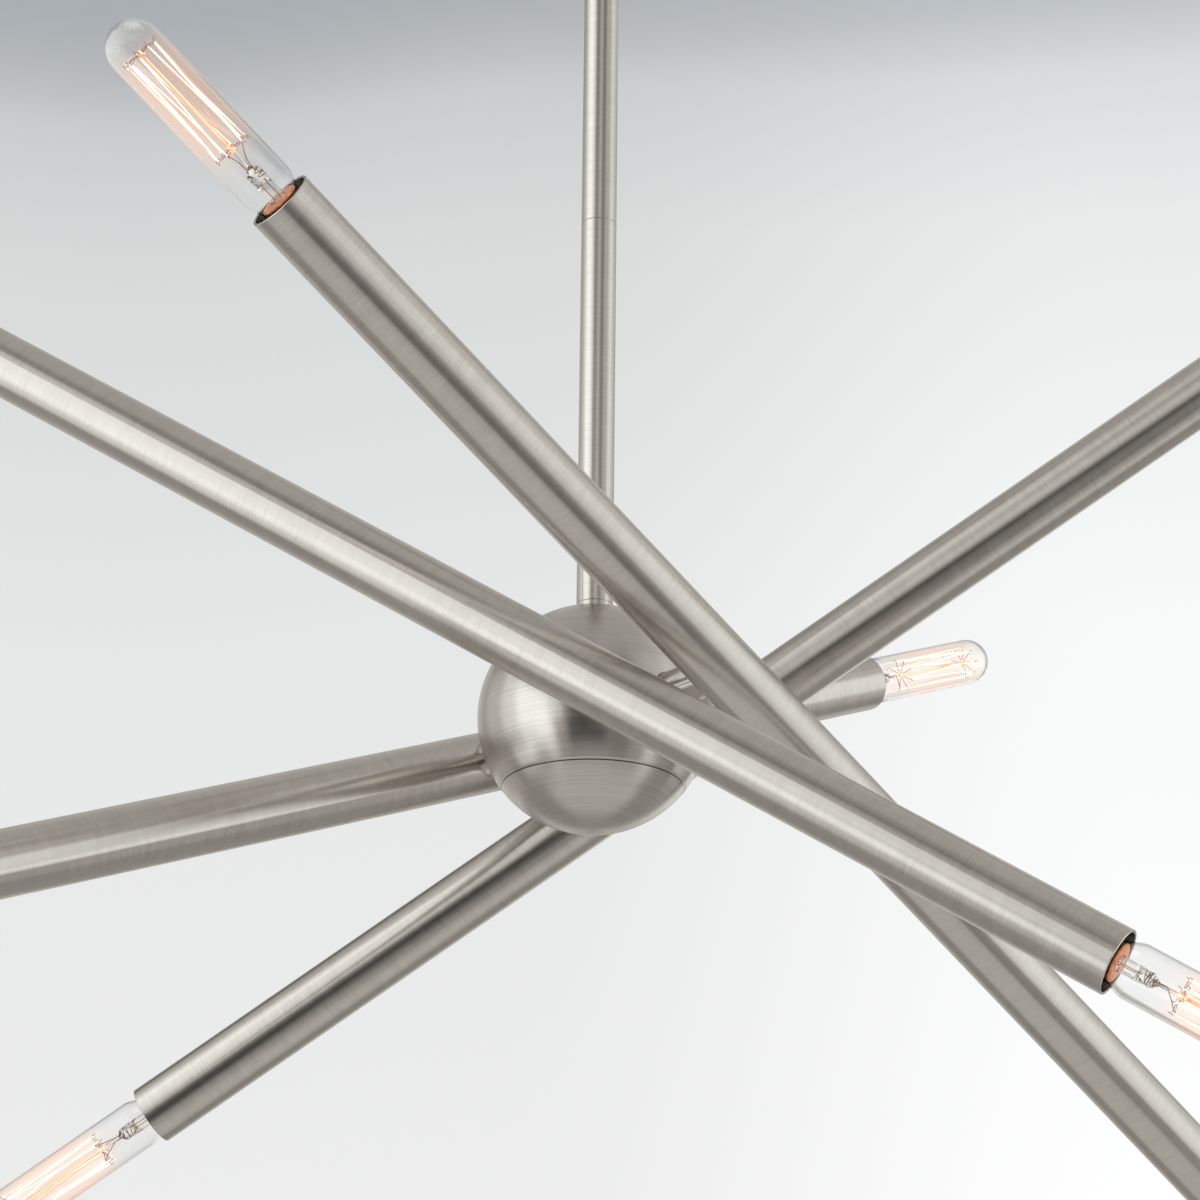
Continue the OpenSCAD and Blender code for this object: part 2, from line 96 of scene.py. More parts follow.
# Soft boxes, walls and dark gaps of the studio, later ones over earlier ones. Each has its brightness,
# the azimuth and height of its middle, its half width, its half height and half the blur of its edges,
# in degrees, with the azimuth from the back wall round to the right. The rows were typed by hand after
# a map of the surroundings that scratch scripts worked out from the photograph's reflections, and
# changed to lessen the error against it.
STUDIO = (
    (0.60, 12, 22, 32, 32, 8),
    (0.84, 34, 4, 9, 14, 6),
    (0.30, 47, -8, 5, 10, 4),
    (0.78, 78, -6, 14, 12, 6),
    (0.80, 76, 25, 16, 11, 6),
    (0.76, 88, 50, 9, 12, 7),
    (0.12, -21, 41, 14, 9, 5),
    (0.27, -46, 54, 20, 7, 6),
    (0.68, -54, 13, 16, 16, 7),
    (0.72, -64, 45, 14, 6, 5),
    (1.00, -74, 4, 10, 38, 6),
    (1.10, -84, 6, 9, 42, 6),
    (0.80, -115, -38, 8, 10, 5),
    (1.55, -105, 7, 19, 37, 6),
    (0.85, -131, 36, 9, 7, 4),
    (1.32, -129, 9, 8, 19, 4),
    (0.10, -152, 38, 12, 9, 6),
    (0.28, -150, 53, 20, 6, 6),
    (0.70, -154, 5, 17, 13, 5),
    (0.72, -171, 20, 9, 8, 5),
    (0.17, 164, 33, 12, 10, 6),
    (0.03, -162, -25, 23, 17, 5),
    (0.16, 159, -40, 14, 12, 5),
    (0.72, 108, -44, 14, 9, 6),
    (1.24, 104, 9, 14, 26, 6),
    (1.14, 120, 5, 10, 17, 5),
    (1.30, 122, -20, 8, 9, 5),
    (0.68, 116, 38, 22, 8, 6),
    (0.97, 134, 1, 8, 14, 5),
    (0.80, 138, -14, 8, 6, 5),
    (0.62, 148, 22, 8, 9, 5),
)


# Node helpers


def node(tree, kind, **settings):
    made = tree.nodes.new(kind)
    for name, value in settings.items():
        setattr(made, name, value)
    return made


def feed(tree, socket, value):
    """Links the socket when the value comes from a node, and sets it when the value is plain."""
    if isinstance(value, bpy.types.NodeSocket):
        tree.links.new(value, socket)
    else:
        socket.default_value = value


def calc(tree, operation, *values):
    made = node(tree, "ShaderNodeMath", operation=operation)
    for socket, value in zip(made.inputs, values):
        feed(tree, socket, value)
    return made.outputs[0]


def dot(tree, vector, direction):
    made = node(tree, "ShaderNodeVectorMath", operation="DOT_PRODUCT")
    feed(tree, made.inputs[0], vector)
    feed(tree, made.inputs[1], direction)
    return made.outputs["Value"]


def spread(tree, value, low, high, out_low=0.0, out_high=1.0, kind="SMOOTHSTEP"):
    """Maps a value between two limits to another range, with a soft start and end."""
    made = node(tree, "ShaderNodeMapRange", interpolation_type=kind)
    for socket, number in zip(made.inputs, (value, low, high, out_low, out_high)):
        feed(tree, socket, number)
    return made.outputs[0]


def near(tree, value, middle, half, blur, turn=None):
    """1 within a half width of a middle value and 0 beyond, with a soft edge."""
    gap = calc(tree, "SUBTRACT", value, float(middle))
    if turn:
        gap = calc(tree, "WRAP", gap, turn / 2, -turn / 2)
    return spread(tree, calc(tree, "ABSOLUTE", gap), half - blur, half + blur, 1.0, 0.0)


def blend(tree, factor, a, b, kind="RGBA"):
    made = node(tree, "ShaderNodeMix", data_type=kind)
    pair = {"RGBA": (6, 7, 2), "FLOAT": (2, 3, 0)}[kind]
    feed(tree, made.inputs[0], factor)
    feed(tree, made.inputs[pair[0]], a)
    feed(tree, made.inputs[pair[1]], b)
    return made.outputs[pair[2]]


def grey(value, warm=0.0):
    """A linear grey, pulled towards a warm tone."""
    return (value * (1 + warm), value, value * (1 - warm), 1.0)


# Camera, studio and floor


def make_camera():
    data = bpy.data.cameras.new("camera")
    data.lens = CAMERA_LENS
    data.sensor_width = SENSOR
    data.clip_end = 100.0
    camera = bpy.data.objects.new("camera", data)
    bpy.context.collection.objects.link(camera)
    turn = Matrix.Rotation(-CAMERA_HEADING, 4, "Z")
    turn = turn @ Matrix.Rotation(math.pi / 2 + CAMERA_PITCH, 4, "X")
    turn = turn @ Matrix.Rotation(CAMERA_ROLL, 4, "Z")
    camera.matrix_world = Matrix.Translation(CAMERA_PLACE) @ turn
    bpy.context.scene.camera = camera


def backdrop_colour(tree, azimuth, height):
    """The plain backdrop that the camera sees: pale below and to the right, greyer towards the ceiling."""
    made = node(tree, "ShaderNodeValToRGB")
    left_fade = spread(tree, azimuth, -175.0, -40.0)
    lean = calc(tree, "MULTIPLY", spread(tree, azimuth, 3.0, 12.0, 1.2, 0.0), left_fade)
    feed(tree, made.inputs[0], spread(tree, calc(tree, "ADD", height, lean), 10.0, 32.0, kind="LINEAR"))
    stops = (
        (0.00, (0.848, 0.852, 0.850)),
        (0.50, (0.792, 0.800, 0.798)),
        (0.80, (0.690, 0.703, 0.703)),
        (0.91, (0.590, 0.605, 0.615)),
        (0.955, (0.460, 0.482, 0.500)),
        (1.00, (0.400, 0.425, 0.445)),
    )
    ramp = made.color_ramp
    while len(ramp.elements) < len(stops):
        ramp.elements.new(0.5)
    for element, (place, colour) in zip(ramp.elements, stops):
        element.position = place
        element.color = (*colour, 1.0)
    right_fade = spread(tree, azimuth, 40.0, 175.0, 1.0, 0.0)
    right = calc(tree, "MULTIPLY", spread(tree, azimuth, 11.0, 22.5, 0.0, 0.18), right_fade)
    scaled = node(tree, "ShaderNodeVectorMath", operation="SCALE")
    feed(tree, scaled.inputs[0], made.outputs[0])
    feed(tree, scaled.inputs["Scale"], calc(tree, "ADD", right, 1.0))
    return scaled.outputs[0]


def studio_light(tree, azimuth, height):
    """Brightness of the studio round the fixture."""
    low = spread(tree, height, -60.0, -46.0, FLOOR_TONE, WALL_TONE)
    tone = blend(tree, spread(tree, height, -28.0, -12.0), low, CEILING_TONE, "FLOAT")
    for level, middle, rise, half, tall, blur in STUDIO:
        across = near(tree, azimuth, middle, half, blur, 360.0)
        up = near(tree, height, rise, tall, blur)
        tone = blend(tree, calc(tree, "MULTIPLY", across, up), tone, level, "FLOAT")
    return tone


def make_world():
    world = bpy.data.worlds.new("studio")
    bpy.context.scene.world = world
    world.use_nodes = True
    tree = world.node_tree
    tree.nodes.clear()
    place = node(tree, "ShaderNodeTexCoord").outputs["Generated"]
    parts = node(tree, "ShaderNodeSeparateXYZ")
    feed(tree, parts.inputs[0], place)
    to_degrees = 180 / math.pi
    azimuth = calc(tree, "MULTIPLY", calc(tree, "ARCTAN2", parts.outputs[0], parts.outputs[1]), to_degrees)
    height = calc(tree, "MULTIPLY", calc(tree, "ARCSINE", parts.outputs[2]), to_degrees)
    tone = studio_light(tree, azimuth, height)
    warm = blend(tree, spread(tree, tone, 0.5, 1.1), (1.03, 1.0, 0.955, 1.0), (0.985, 1.0, 0.995, 1.0))
    studio = node(tree, "ShaderNodeVectorMath", operation="SCALE")
    feed(tree, studio.inputs[0], warm)
    feed(tree, studio.inputs["Scale"], tone)
    path = node(tree, "ShaderNodeLightPath")
    plain = calc(tree, "MAXIMUM", path.outputs["Is Camera Ray"], path.outputs["Is Transmission Ray"])
    seen = blend(tree, plain, studio.outputs[0], backdrop_colour(tree, azimuth, height))
    light = node(tree, "ShaderNodeBackground")
    feed(tree, light.inputs[0], seen)
    feed(tree, node(tree, "ShaderNodeOutputWorld").inputs[0], light.outputs[0])


def floor_material():
    material, tree, shader = new_material("floor")
    shader.inputs["Base Color"].default_value = grey(0.78)
    shader.inputs["Roughness"].default_value = 0.9
    path = node(tree, "ShaderNodeLightPath")
    glow = node(tree, "ShaderNodeEmission")
    glow.inputs[0].default_value = grey(0.42, -0.01)
    feed(tree, glow.inputs[1], path.outputs["Is Camera Ray"])
    both = node(tree, "ShaderNodeAddShader")
    feed(tree, both.inputs[0], shader.outputs[0])
    feed(tree, both.inputs[1], glow.outputs[0])
    feed(tree, tree.nodes["output"].inputs[0], both.outputs[0])
    return material


def make_floor():
    drop = 1.9
    size = 14.0
    mesh = bpy.data.meshes.new("floor")
    sides = 96
    ring = [
        Vector((math.sin(a), math.cos(a), 0)) * size
        for a in (2 * math.pi * k / sides for k in range(sides))
    ]
    mesh.from_pydata([Vector((0, 0, 0)), *ring], [], [(0, (k + 1) % sides + 1, k + 1) for k in range(sides)])
    floor = bpy.data.objects.new("floor", mesh)
    floor.location.z = cad_box[0].z - drop
    mesh.materials.append(floor_material())
    bpy.context.collection.objects.link(floor)
    floor.visible_glossy = False


def make_lamp_light():
    """One soft panel over the fixture gives the floor its faint shadow."""
    data = bpy.data.lights.new("panel", "AREA")
    data.shape = "DISK"
    data.size = 2.0
    data.energy = 22.0
    panel = bpy.data.objects.new("panel", data)
    panel.location = (-0.8, -1.2, 2.2)
    panel.rotation_euler = (Vector((0, 0, -0.6)) - panel.location).to_track_quat("-Z", "Y").to_euler()
    panel.visible_glossy = False
    bpy.context.collection.objects.link(panel)


# Materials


def new_material(name):
    """A material with a Principled shader, and its node tree."""
    material = bpy.data.materials.new(name)
    material.use_nodes = True
    tree = material.node_tree
    tree.nodes.clear()
    shader = node(tree, "ShaderNodeBsdfPrincipled")
    output = node(tree, "ShaderNodeOutputMaterial", name="output")
    feed(tree, output.inputs[0], shader.outputs[0])
    return material, tree, shader


def place_on(tree):
    """The point on the surface in the rest frame, which moves with its body."""
    return node(tree, "ShaderNodeTexCoord").outputs["Object"]


def noise(tree, vector, scale, detail=2.0, roughness=0.5):
    made = node(tree, "ShaderNodeTexNoise")
    feed(tree, made.inputs["Vector"], vector)
    made.inputs["Scale"].default_value = scale
    made.inputs["Detail"].default_value = detail
    made.inputs["Roughness"].default_value = roughness
    return made.outputs["Fac"]


def joined(tree, *values):
    made = node(tree, "ShaderNodeCombineXYZ")
    for socket, value in zip(made.inputs, values):
        feed(tree, socket, value)
    return made.outputs[0]


def bump(tree, height, distance, strength=1.0):
    made = node(tree, "ShaderNodeBump")
    made.inputs["Strength"].default_value = strength
    made.inputs["Distance"].default_value = distance
    feed(tree, made.inputs["Height"], height)
    return made.outputs[0]


def brushed(name, axis, origin, colour, rough, stretch, grain=1.0):
    """Satin nickel with a fine brushing round the given axis; its gloss runs along the axis."""
    material, tree, shader = new_material(name)
    place = node(tree, "ShaderNodeVectorMath", operation="SUBTRACT")
    feed(tree, place.inputs[0], place_on(tree))
    feed(tree, place.inputs[1], origin)
    point = place.outputs[0]
    side = axis.orthogonal().normalized()
    other = axis.cross(side)
    along = dot(tree, point, axis)
    turn = calc(tree, "ARCTAN2", dot(tree, point, side), dot(tree, point, other))
    lines = noise(tree, joined(tree, calc(tree, "MULTIPLY", along, 2600.0), turn, 0.0), 1.0, 3.0, 0.7)
    broad = noise(tree, joined(tree, calc(tree, "MULTIPLY", along, 160.0), turn, 0.5), 1.0, 2.0)
    cloud = noise(tree, point, 22.0, 3.0)
    streak = calc(tree, "ADD", calc(tree, "MULTIPLY", lines, 0.7), calc(tree, "MULTIPLY", broad, 0.3))
    low = tuple(c * (1 - 0.09 * grain) for c in colour)
    high = tuple(min(1.0, c * (1 + 0.07 * grain)) for c in colour)
    tint = blend(tree, spread(tree, streak, 0.3, 0.7, kind="LINEAR"), (*low, 1.0), (*high, 1.0))
    feed(tree, shader.inputs["Base Color"], tint)
    wear = calc(
        tree, "ADD", calc(tree, "MULTIPLY", streak, 0.05 * grain), calc(tree, "MULTIPLY", cloud, 0.03)
    )
    feed(tree, shader.inputs["Roughness"], calc(tree, "ADD", wear, rough - 0.04))
    shader.inputs["Metallic"].default_value = 1.0
    shader.inputs["Anisotropic"].default_value = stretch
    gloss_way = node(tree, "ShaderNodeVectorTransform", vector_type="VECTOR")
    gloss_way.convert_from = "OBJECT"
    gloss_way.convert_to = "WORLD"
    feed(tree, gloss_way.inputs[0], axis)
    feed(tree, shader.inputs["Tangent"], gloss_way.outputs[0])
    feed(tree, shader.inputs["Normal"], bump(tree, lines, 0.000012 * grain, 0.6))
    return material


def turned(name, colour, rough, stretch, grain=1.0, seam=None):
    """Satin nickel turned on a lathe round the vertical axis, with painted shade in a line at the height of a
    seam.
    """
    material, tree, shader = new_material(name)
    point = place_on(tree)
    parts = node(tree, "ShaderNodeSeparateXYZ")
    feed(tree, parts.inputs[0], point)
    turn = calc(tree, "ARCTAN2", parts.outputs[0], parts.outputs[1])
    far = calc(tree, "SQRT", calc(tree, "ADD", calc(tree, "POWER", parts.outputs[0], 2.0),
                                  calc(tree, "POWER", parts.outputs[1], 2.0)))
    height = calc(tree, "MULTIPLY", parts.outputs[2], 1700.0)
    reach = calc(tree, "MULTIPLY", far, 1700.0)
    slow_turn = calc(tree, "MULTIPLY", turn, 0.6)
    lines = noise(tree, joined(tree, height, reach, slow_turn), 1.0, 3.0, 0.7)
    cloud = noise(tree, point, 30.0, 3.0)
    low = tuple(c * (1 - 0.10 * grain) for c in colour)
    high = tuple(min(1.0, c * (1 + 0.07 * grain)) for c in colour)
    tint = blend(tree, spread(tree, lines, 0.3, 0.7, kind="LINEAR"), (*low, 1.0), (*high, 1.0))
    # Painted shade: a dark line at the seam's height stands in for the shade in the gap between the ball's halves.
    if seam is not None:
        dark = near(tree, parts.outputs[2], seam, 0.36 * MM, 0.2 * MM)
        tint = blend(tree, dark, tint, (0.09, 0.085, 0.08, 1.0))
    feed(tree, shader.inputs["Base Color"], tint)
    wear = calc(tree, "ADD", calc(tree, "MULTIPLY", lines, 0.05 * grain), calc(tree, "MULTIPLY", cloud, 0.03))
    feed(tree, shader.inputs["Roughness"], calc(tree, "ADD", wear, rough - 0.04))
    shader.inputs["Metallic"].default_value = 1.0
    shader.inputs["Anisotropic"].default_value = stretch
    shader.inputs["Anisotropic Rotation"].default_value = 0.25
    round_way = node(tree, "ShaderNodeTangent", direction_type="RADIAL", axis="Z")
    feed(tree, shader.inputs["Tangent"], round_way.outputs[0])
    feed(tree, shader.inputs["Normal"], bump(tree, lines, 0.000014 * grain, 0.6))
    return material


def zinc():
    material, tree, shader = new_material("zinc_plate")
    grains = noise(tree, place_on(tree), 900.0, 4.0)
    feed(
        tree, shader.inputs["Base Color"],
        blend(tree, grains, (0.60, 0.62, 0.65, 1.0), (0.74, 0.75, 0.78, 1.0)),
    )
    feed(tree, shader.inputs["Roughness"], spread(tree, grains, 0.2, 0.8, 0.28, 0.48))
    shader.inputs["Metallic"].default_value = 1.0
    feed(tree, shader.inputs["Normal"], bump(tree, grains, 0.00002))
    return material


def phenolic():
    material, tree, shader = new_material("phenolic_moulding")
    grains = noise(tree, place_on(tree), 1400.0, 3.0)
    feed(
        tree, shader.inputs["Base Color"],
        blend(tree, grains, (0.012, 0.011, 0.011, 1.0), (0.03, 0.028, 0.027, 1.0)),
    )
    feed(tree, shader.inputs["Roughness"], spread(tree, grains, 0.2, 0.8, 0.4, 0.6))
    feed(tree, shader.inputs["Normal"], bump(tree, grains, 0.00003))
    return material


def rolled_brass():
    material, tree, shader = new_material("rolled_brass")
    grains = noise(tree, place_on(tree), 700.0, 4.0)
    feed(
        tree, shader.inputs["Base Color"],
        blend(tree, grains, (0.62, 0.40, 0.18, 1.0), (0.80, 0.56, 0.30, 1.0)),
    )
    feed(tree, shader.inputs["Roughness"], spread(tree, grains, 0.2, 0.8, 0.22, 0.40))
    shader.inputs["Metallic"].default_value = 1.0
    feed(tree, shader.inputs["Normal"], bump(tree, grains, 0.00003))
    return material


def copper_foot():
    """The copper-coloured floor that shows through the neck of the glass, with a painted glow where the filament's
    light falls on it.
    """
    material, tree, shader = new_material("copper_foot")
    streaks = noise(tree, place_on(tree), 420.0, 5.0, 0.7)
    feed(tree, shader.inputs["Base Color"], blend(tree, spread(tree, streaks, 0.3, 0.7),
                                                  (0.42, 0.15, 0.07, 1.0), (0.86, 0.46, 0.30, 1.0)))
    feed(tree, shader.inputs["Roughness"], spread(tree, streaks, 0.3, 0.7, 0.30, 0.55))
    shader.inputs["Metallic"].default_value = 0.85
    # Painted light: the emission stands in for the filament's light falling on the copper disc.
    feed(tree, shader.inputs["Emission Color"], blend(tree, spread(tree, streaks, 0.3, 0.7),
                                                      (0.22, 0.080, 0.040, 1.0), (0.42, 0.18, 0.10, 1.0)))
    shader.inputs["Emission Strength"].default_value = 1.0
    feed(tree, shader.inputs["Normal"], bump(tree, streaks, 0.0002))
    return material


def reach_from(tree, rim, out):
    """Millimetres from the rim of the tube, measured along the lamp."""
    gap = node(tree, "ShaderNodeVectorMath", operation="SUBTRACT")
    feed(tree, gap.inputs[0], place_on(tree))
    feed(tree, gap.inputs[1], rim)
    return calc(tree, "MULTIPLY", dot(tree, gap.outputs[0], out), 1 / MM)


def lamp_glass(name, rim, out):
    """Blown glass, with a painted warm tint and glow beside the cage for the filament's light on it, and a faint
    painted pale glow at the dome.
    """
    material, tree, shader = new_material(name)
    waves = noise(tree, place_on(tree), 45.0, 1.0)
    reach = reach_from(tree, rim, out)
    middle = (CAGE_FOOT + CAGE_TOP) / 2
    beside = near(tree, reach, middle, (CAGE_TOP - CAGE_FOOT) / 2, 16.0)
    dome = spread(tree, reach, CAGE_TOP + 4, CAGE_TOP + 18)
    # Painted reflection: the warm tint beside the cage stands in for the filament's glow seen in the glass.
    tint = blend(tree, beside, blend(tree, waves, (0.985, 0.985, 0.98, 1.0), (1.0, 1.0, 0.995, 1.0)),
                 (1.0, 0.940, 0.890, 1.0))
    feed(tree, shader.inputs["Base Color"], tint)
    # Painted light: the emission beside the cage and at the dome stands in for the filament's light on the glass.
    glow = blend(tree, beside, (0.0, 0.0, 0.0, 1.0), (0.046, 0.022, 0.012, 1.0))
    feed(tree, shader.inputs["Emission Color"], blend(tree, dome, glow, (0.020, 0.018, 0.015, 1.0)))
    shader.inputs["Emission Strength"].default_value = 1.0
    shader.inputs["Roughness"].default_value = 0.0
    shader.inputs["IOR"].default_value = 1.5
    shader.inputs["Transmission Weight"].default_value = 1.0
    feed(tree, shader.inputs["Normal"], bump(tree, waves, 0.0002, 0.25))
    return material


def stem_glass(name, rim, out):
    """Glass of the stem: clear below with a faint painted glow, and a painted warm tint and glow where the
    filament's light falls on it.
    """
    material, tree, shader = new_material(name)
    reach = reach_from(tree, rim, out)
    # Painted light: the warm tint and the emission stand in for the filament's light falling on the stem.
    lit = spread(tree, reach, CAGE_FOOT - 5, CAGE_FOOT + 4)
    feed(
        tree, shader.inputs["Base Color"],
        blend(tree, lit, (0.99, 0.97, 0.95, 1.0), (0.99, 0.84, 0.70, 1.0)),
    )
    # Painted highlight: a brighter glow on the bead at the foot of the cage.
    bead = near(tree, reach, CAGE_FOOT, 2.4, 1.0)
    glow = blend(tree, lit, (0.012, 0.011, 0.009, 1.0), (0.16, 0.075, 0.036, 1.0))
    feed(tree, shader.inputs["Emission Color"], blend(tree, bead, glow, (0.30, 0.135, 0.065, 1.0)))
    shader.inputs["Emission Strength"].default_value = 1.0
    shader.inputs["Roughness"].default_value = 0.02
    shader.inputs["IOR"].default_value = 1.45
    shader.inputs["Transmission Weight"].default_value = 1.0
    return material


def lamp_wire():
    material, tree, shader = new_material("lamp_wire")
    stains = noise(tree, place_on(tree), 260.0, 3.0)
    feed(tree, shader.inputs["Base Color"], blend(tree, spread(tree, stains, 0.35, 0.65),
                                                  (0.26, 0.12, 0.08, 1.0), (0.66, 0.34, 0.24, 1.0)))
    feed(tree, shader.inputs["Roughness"], spread(tree, stains, 0.3, 0.7, 0.25, 0.5))
    shader.inputs["Metallic"].default_value = 0.8
    return material


def glowing(name, cool, hot, strength):
    """Glowing carbonised wire, with slow changes of heat along it."""
    material, tree, shader = new_material(name)
    heat = spread(tree, noise(tree, place_on(tree), 40.0, 1.0), 0.35, 0.65)
    shader.inputs["Base Color"].default_value = (0.10, 0.06, 0.04, 1.0)
    feed(tree, shader.inputs["Emission Color"], blend(tree, heat, (*cool, 1.0), (*hot, 1.0)))
    shader.inputs["Emission Strength"].default_value = strength
    shader.inputs["Roughness"].default_value = 0.6
    return material


# Mesh building


def skin(mesh, rings, finish=0, hollow=False):
    """Joins rings of points to a closed form, facing outward, or inward for a hollow in another form."""
    sides = len(rings[0])
    faces = [list(reversed(rings[0])), rings[-1]]
    for one, two in zip(rings, rings[1:]):
        faces += [[one[s], one[(s + 1) % sides], two[(s + 1) % sides], two[s]] for s in range(sides)]
    for corners in faces:
        face = mesh.faces.new(corners[::-1] if hollow else corners)
        face.material_index = finish


def sweep(mesh, path, radius, sides=8, finish=0):
    """Adds a closed round tube along a path of points."""
    points = [Vector(p) for p in path]
    across = None
    rings = []
    for k, point in enumerate(points):
        ahead = points[min(k + 1, len(points) - 1)] - points[max(k - 1, 0)]
        ahead.normalize()
        if across is None:
            across = ahead.orthogonal().normalized()
        across = (across - ahead * across.dot(ahead)).normalized()
        other = ahead.cross(across)
        angles = [2 * math.pi * s / sides for s in range(sides)]
        rings.append([
            mesh.verts.new(point + (across * math.cos(a) + other * math.sin(a)) * radius)
            for a in angles
        ])
    skin(mesh, rings, finish)


def loft(mesh, sections, sides=32, hollow=False):
    """Adds a closed form through oval sections, each a height and two half widths."""
    rings = []
    for height, half_x, half_y in sections:
        angles = [2 * math.pi * s / sides for s in range(sides)]
        rings.append([mesh.verts.new((half_x * math.cos(a), half_y * math.sin(a), height)) for a in angles])
    skin(mesh, rings, 0, hollow)


def build(name, mesh, place, finishes, body):
    """Makes a piece of a mesh in millimetres, sets it at its place and lets it ride on a body."""
    for face in mesh.faces:
        face.smooth = len(face.verts) <= 4
    data = bpy.data.meshes.new(name)
    mesh.to_mesh(data)
    mesh.free()
    data.transform(place @ Matrix.Scale(MM, 4))
    for material in finishes:
        data.materials.append(material)
    piece = bpy.data.objects.new(name, data)
    bpy.context.collection.objects.link(piece)
    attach(piece, body)
    return piece


# Lamps


def rim_centre(points, outward):
    """Centre of the rim that lies furthest in the given direction."""
    side = outward.orthogonal().normalized()
    other = outward.cross(side)
    edge = max(p.dot(outward) for p in points)
    rim = [p for p in points if p.dot(outward) > edge - 4 * MM]
    centre = outward * edge
    for way in (side, other):
        reach = [p.dot(way) for p in rim]
        centre += way * (min(reach) + max(reach)) / 2
    return centre


def tube_ends(arm):
    """Centres of the rims at the two ends of an arm's tube."""
    points = [v.co.copy() for v in NODES["tube_" + arm].data.vertices]
    middle = sum(points, Vector()) / len(points)
    along = (max(points, key=lambda p: (p - middle).length) - middle).normalized()
    for _ in range(3):
        one = rim_centre(points, along)
        two = rim_centre(points, -along)
        along = (one - two).normalized()
    return one, two


def lamp_place(arm, end):
    """Matrix that sets a lamp in the tube: origin at the centre of the rim, Z out of the tube."""
    low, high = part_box(f"bulb_glass_{arm}_{end}")
    glass = (low + high) / 2
    here, there = sorted(tube_ends(arm), key=lambda p: (p - glass).length)
    out = (here - there).normalized()
    across = Vector((0, 0, 1)).cross(out).normalized()
    axes = Matrix((across, out.cross(across), out)).transposed()
    return Matrix.Translation(here) @ axes.to_4x4()


def ring_point(turn, radius, height):
    angle = 2 * math.pi * turn
    return Vector((radius * math.cos(angle), radius * math.sin(angle), height))


def hook_turn(k):
    """Place of a hook round the cage. One place is left open for the two ends of the filament."""
    return k / (FOOT_HOOKS + 0.5)


def stem_mesh():
    """The glass stem: a hollow tube, its flattened pinch, the rod and two buttons."""
    mesh = bmesh.new()
    rod = GLASS_ROD_RADIUS
    loft(mesh, [
        (FOOT_TOP + 0.1, 5.0, 5.0),
        (FOOT_TOP + 1.4, 4.8, 4.8),
        (FOOT_TOP + 4.0, 4.6, 4.6),
        (FOOT_TOP + 7.4, STEM_RADIUS, STEM_RADIUS),
        (PINCH - 5.0, STEM_RADIUS + 0.2, STEM_RADIUS),
        (PINCH - 3.0, 5.6, 4.2),
        (PINCH - 0.5, 5.9, 3.8),
        (PINCH + 1.5, 5.3, 4.3),
        (PINCH + 3.5, 5.5, 3.4),
        (PINCH + 5.0, 3.0, 2.0),
        (PINCH + 6.5, rod, rod),
        (CAGE_FOOT - 2.2, rod, rod),
        (CAGE_FOOT - 1.3, 2.3, 2.3),
        (CAGE_FOOT, 2.7, 2.7),
        (CAGE_FOOT + 1.3, 2.2, 2.2),
        (CAGE_FOOT + 2.2, rod, rod),
        (CAGE_TOP - 2.2, rod, rod),
        (CAGE_TOP - 1.2, 2.2, 2.2),
        (CAGE_TOP, 2.6, 2.6),
        (CAGE_TOP + 1.2, 2.1, 2.1),
        (CAGE_TOP + 1.9, 0.8, 0.8),
    ])
    loft(mesh, [
        (FOOT_TOP + 0.7, 4.1, 4.1),
        (FOOT_TOP + 1.6, 4.0, 4.0),
        (FOOT_TOP + 4.2, 3.8, 3.8),
        (FOOT_TOP + 7.4, STEM_RADIUS - 0.8, STEM_RADIUS - 0.8),
        (PINCH - 6.0, STEM_RADIUS - 0.8, STEM_RADIUS - 1.0),
        (PINCH - 4.2, 2.0, 0.7),
    ], hollow=True)
    return mesh


def wire_mesh(chance):
    """Leads, the copper coils at the pinch, and the two stars of hooks."""
    mesh = bmesh.new()
    for side in (-1, 1):
        foot_hook = 0 if side > 0 else FOOT_HOOKS - 1
        hook = ring_point(hook_turn(foot_hook), CAGE_RADIUS, CAGE_FOOT)
        sweep(
            mesh,
            [(side * 2.6, 0, FOOT_TOP + 0.1), (side * 2.6, 0, 4), (side * 2.7, 0, PINCH - 3)],
            WIRE_RADIUS,
        )
        coil = [
            (side * (3.4 + 1.2 * math.sin(1.1 * k)), 2.2 * math.cos(1.1 * k), PINCH - 2 + 0.45 * k)
            for k in range(12)
        ]
        sweep(mesh, coil, WIRE_RADIUS, 6)
        sweep(mesh, [
            (side * 2.4, 0, PINCH + 3),
            (side * 2.9, 0, PINCH + 8),
            (side * 3.4, 0.4, PINCH + 11),
            hook.lerp(Vector((side * 3.4, 0.4, PINCH + 12)), 0.45),
            hook,
        ], WIRE_RADIUS)
    for count, height, shift, tail in ((FOOT_HOOKS, CAGE_FOOT, 0.0, -1), (FOOT_HOOKS - 1, CAGE_TOP, 0.5, 1)):
        for k in range(count):
            turn = hook_turn(k + shift)
            bend = chance.uniform(-0.006, 0.006)
            sweep(mesh, [
                ring_point(turn, 1.4, height),
                ring_point(turn + bend, 5.5, height + tail * 0.9),
                ring_point(turn, CAGE_RADIUS - 0.3, height + tail * 0.2),
                ring_point(turn, CAGE_RADIUS + 0.55, height + tail * 0.1),
                ring_point(turn + 0.004, CAGE_RADIUS + 0.7, height + tail * 0.9),
                ring_point(turn + bend, CAGE_RADIUS + 0.9, height + tail * chance.uniform(1.6, 2.6)),
            ], WIRE_RADIUS * 0.8, 6)
    return mesh


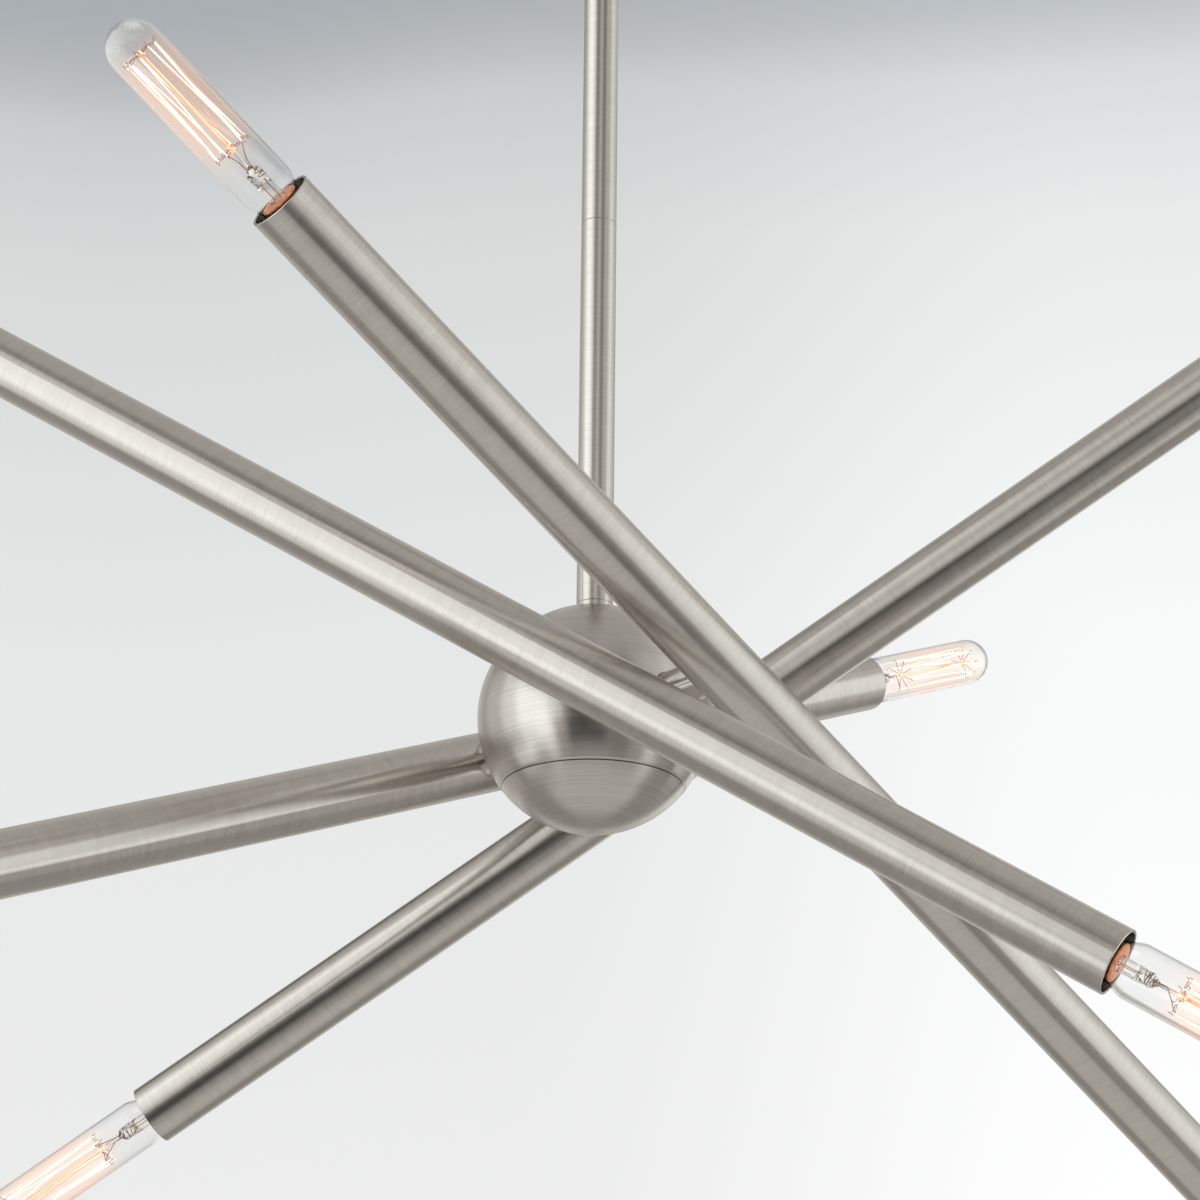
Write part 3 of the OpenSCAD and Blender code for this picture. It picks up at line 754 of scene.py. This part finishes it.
def filament_mesh(chance):
    """One long wire that runs up and down between the hooks, slightly slack."""
    mesh = bmesh.new()
    steps = 10
    hooks = []
    for k in range(FOOT_HOOKS):
        hooks.append((hook_turn(k), CAGE_FOOT))
        if k < FOOT_HOOKS - 1:
            hooks.append((hook_turn(k + 0.5), CAGE_TOP))
    for count, ((turn, start), (next_turn, stop)) in enumerate(zip(hooks, hooks[1:])):
        slack = chance.uniform(0.02, 0.10)
        sway = chance.uniform(-0.022, 0.022)
        faint = count % 3 == 2
        path = []
        for step in range(steps + 1):
            t = step / steps
            belly = math.sin(math.pi * t)
            radius = CAGE_RADIUS * (1 - slack * belly)
            path.append(ring_point(
                turn + (next_turn - turn) * t + sway * belly,
                radius,
                start + (stop - start) * t,
            ))
        sweep(mesh, path, FAINT_STRAND if faint else HOT_STRAND, 6, 1 if faint else 0)
    return mesh


def foot_mesh():
    """The floor of the lamp's neck, a plain disc with soft edges."""
    mesh = bmesh.new()
    loft(mesh, [
        (FOOT_TOP - 1.6, FOOT_RADIUS - 0.6, FOOT_RADIUS - 0.6),
        (FOOT_TOP - 1.2, FOOT_RADIUS, FOOT_RADIUS),
        (FOOT_TOP - 0.4, FOOT_RADIUS, FOOT_RADIUS),
        (FOOT_TOP - 0.1, FOOT_RADIUS - 0.4, FOOT_RADIUS - 0.4),
        (FOOT_TOP - 0.02, 8.0, 8.0),
        (FOOT_TOP, 4.0, 4.0),
    ], 48)
    return mesh


def make_lamp(arm, end, stuff):
    place = lamp_place(arm, end)
    body = "arm_" + arm
    name = f"{arm}_{end}"
    rim = place.translation
    out = place.to_3x3().col[2]
    chance = random.Random(name)
    paint("bulb_glass_" + name, lamp_glass("lamp_glass_" + name, rim, out))
    stem = build("lamp_stem_" + name, stem_mesh(), place, [stem_glass("stem_glass_" + name, rim, out)], body)
    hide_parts("bulb_mount_" + name)
    build("lamp_wires_" + name, wire_mesh(chance), place, [stuff["lamp_wire"]], body)
    strands = [stuff["filament_hot"], stuff["filament_faint"]]
    build("lamp_filament_" + name, filament_mesh(chance), place, strands, body)
    build("lamp_foot_" + name, foot_mesh(), place, [stuff["copper_foot"]], body)


# Dressing of the CAD nodes


def paint(name, material):
    for slot in NODES[name].material_slots:
        slot.material = material


def paint_nodes(stuff):
    """Gives each CAD node the material of its slot. Tubes and necks have one for each arm."""
    nickel = (0.640, 0.615, 0.570)
    for part in frame["record"]["subparts"]:
        if part["material_slot"] in stuff:
            paint(part["node"], stuff[part["material_slot"]])
    for arm in ARMS:
        one, two = tube_ends(arm)
        along = (one - two).normalized()
        joint = next(j for j in frame["joints"] if j["child"] == "arm_" + arm)
        hub = Vector(joint["pos_m"])
        out = Vector(joint["axis"])
        paint("tube_" + arm, brushed("nickel_tube_" + arm, along, one, nickel, 0.22, 0.92, 1.5))
        paint("neck_" + arm, brushed("nickel_neck_" + arm, out, hub, nickel, 0.20, 0.4, 0.5))


def make_materials():
    nickel = (0.640, 0.615, 0.570)
    return {
        "nickel_turned": turned("nickel_turned", nickel, 0.22, 0.92),
        "nickel_ball": turned("nickel_ball", nickel, 0.22, 0.92, 1.4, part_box("ball_upper")[0].z),
        "zinc_steel": zinc(),
        "phenolic": phenolic(),
        "brass_cap": rolled_brass(),
        "lamp_wire": lamp_wire(),
        "filament_hot": glowing("filament_hot", (1.0, 0.76, 0.60), (1.0, 0.90, 0.80), 2.4),
        "filament_faint": glowing("filament_faint", (0.85, 0.30, 0.12), (1.0, 0.52, 0.30), 1.1),
        "copper_foot": copper_foot(),
    }


make_camera()
make_world()
make_floor()
make_lamp_light()
stuff = make_materials()
paint_nodes(stuff)
for arm in ARMS:
    for end in ENDS:
        make_lamp(arm, end, stuff)

bpy.context.scene.view_settings.view_transform = "Standard"
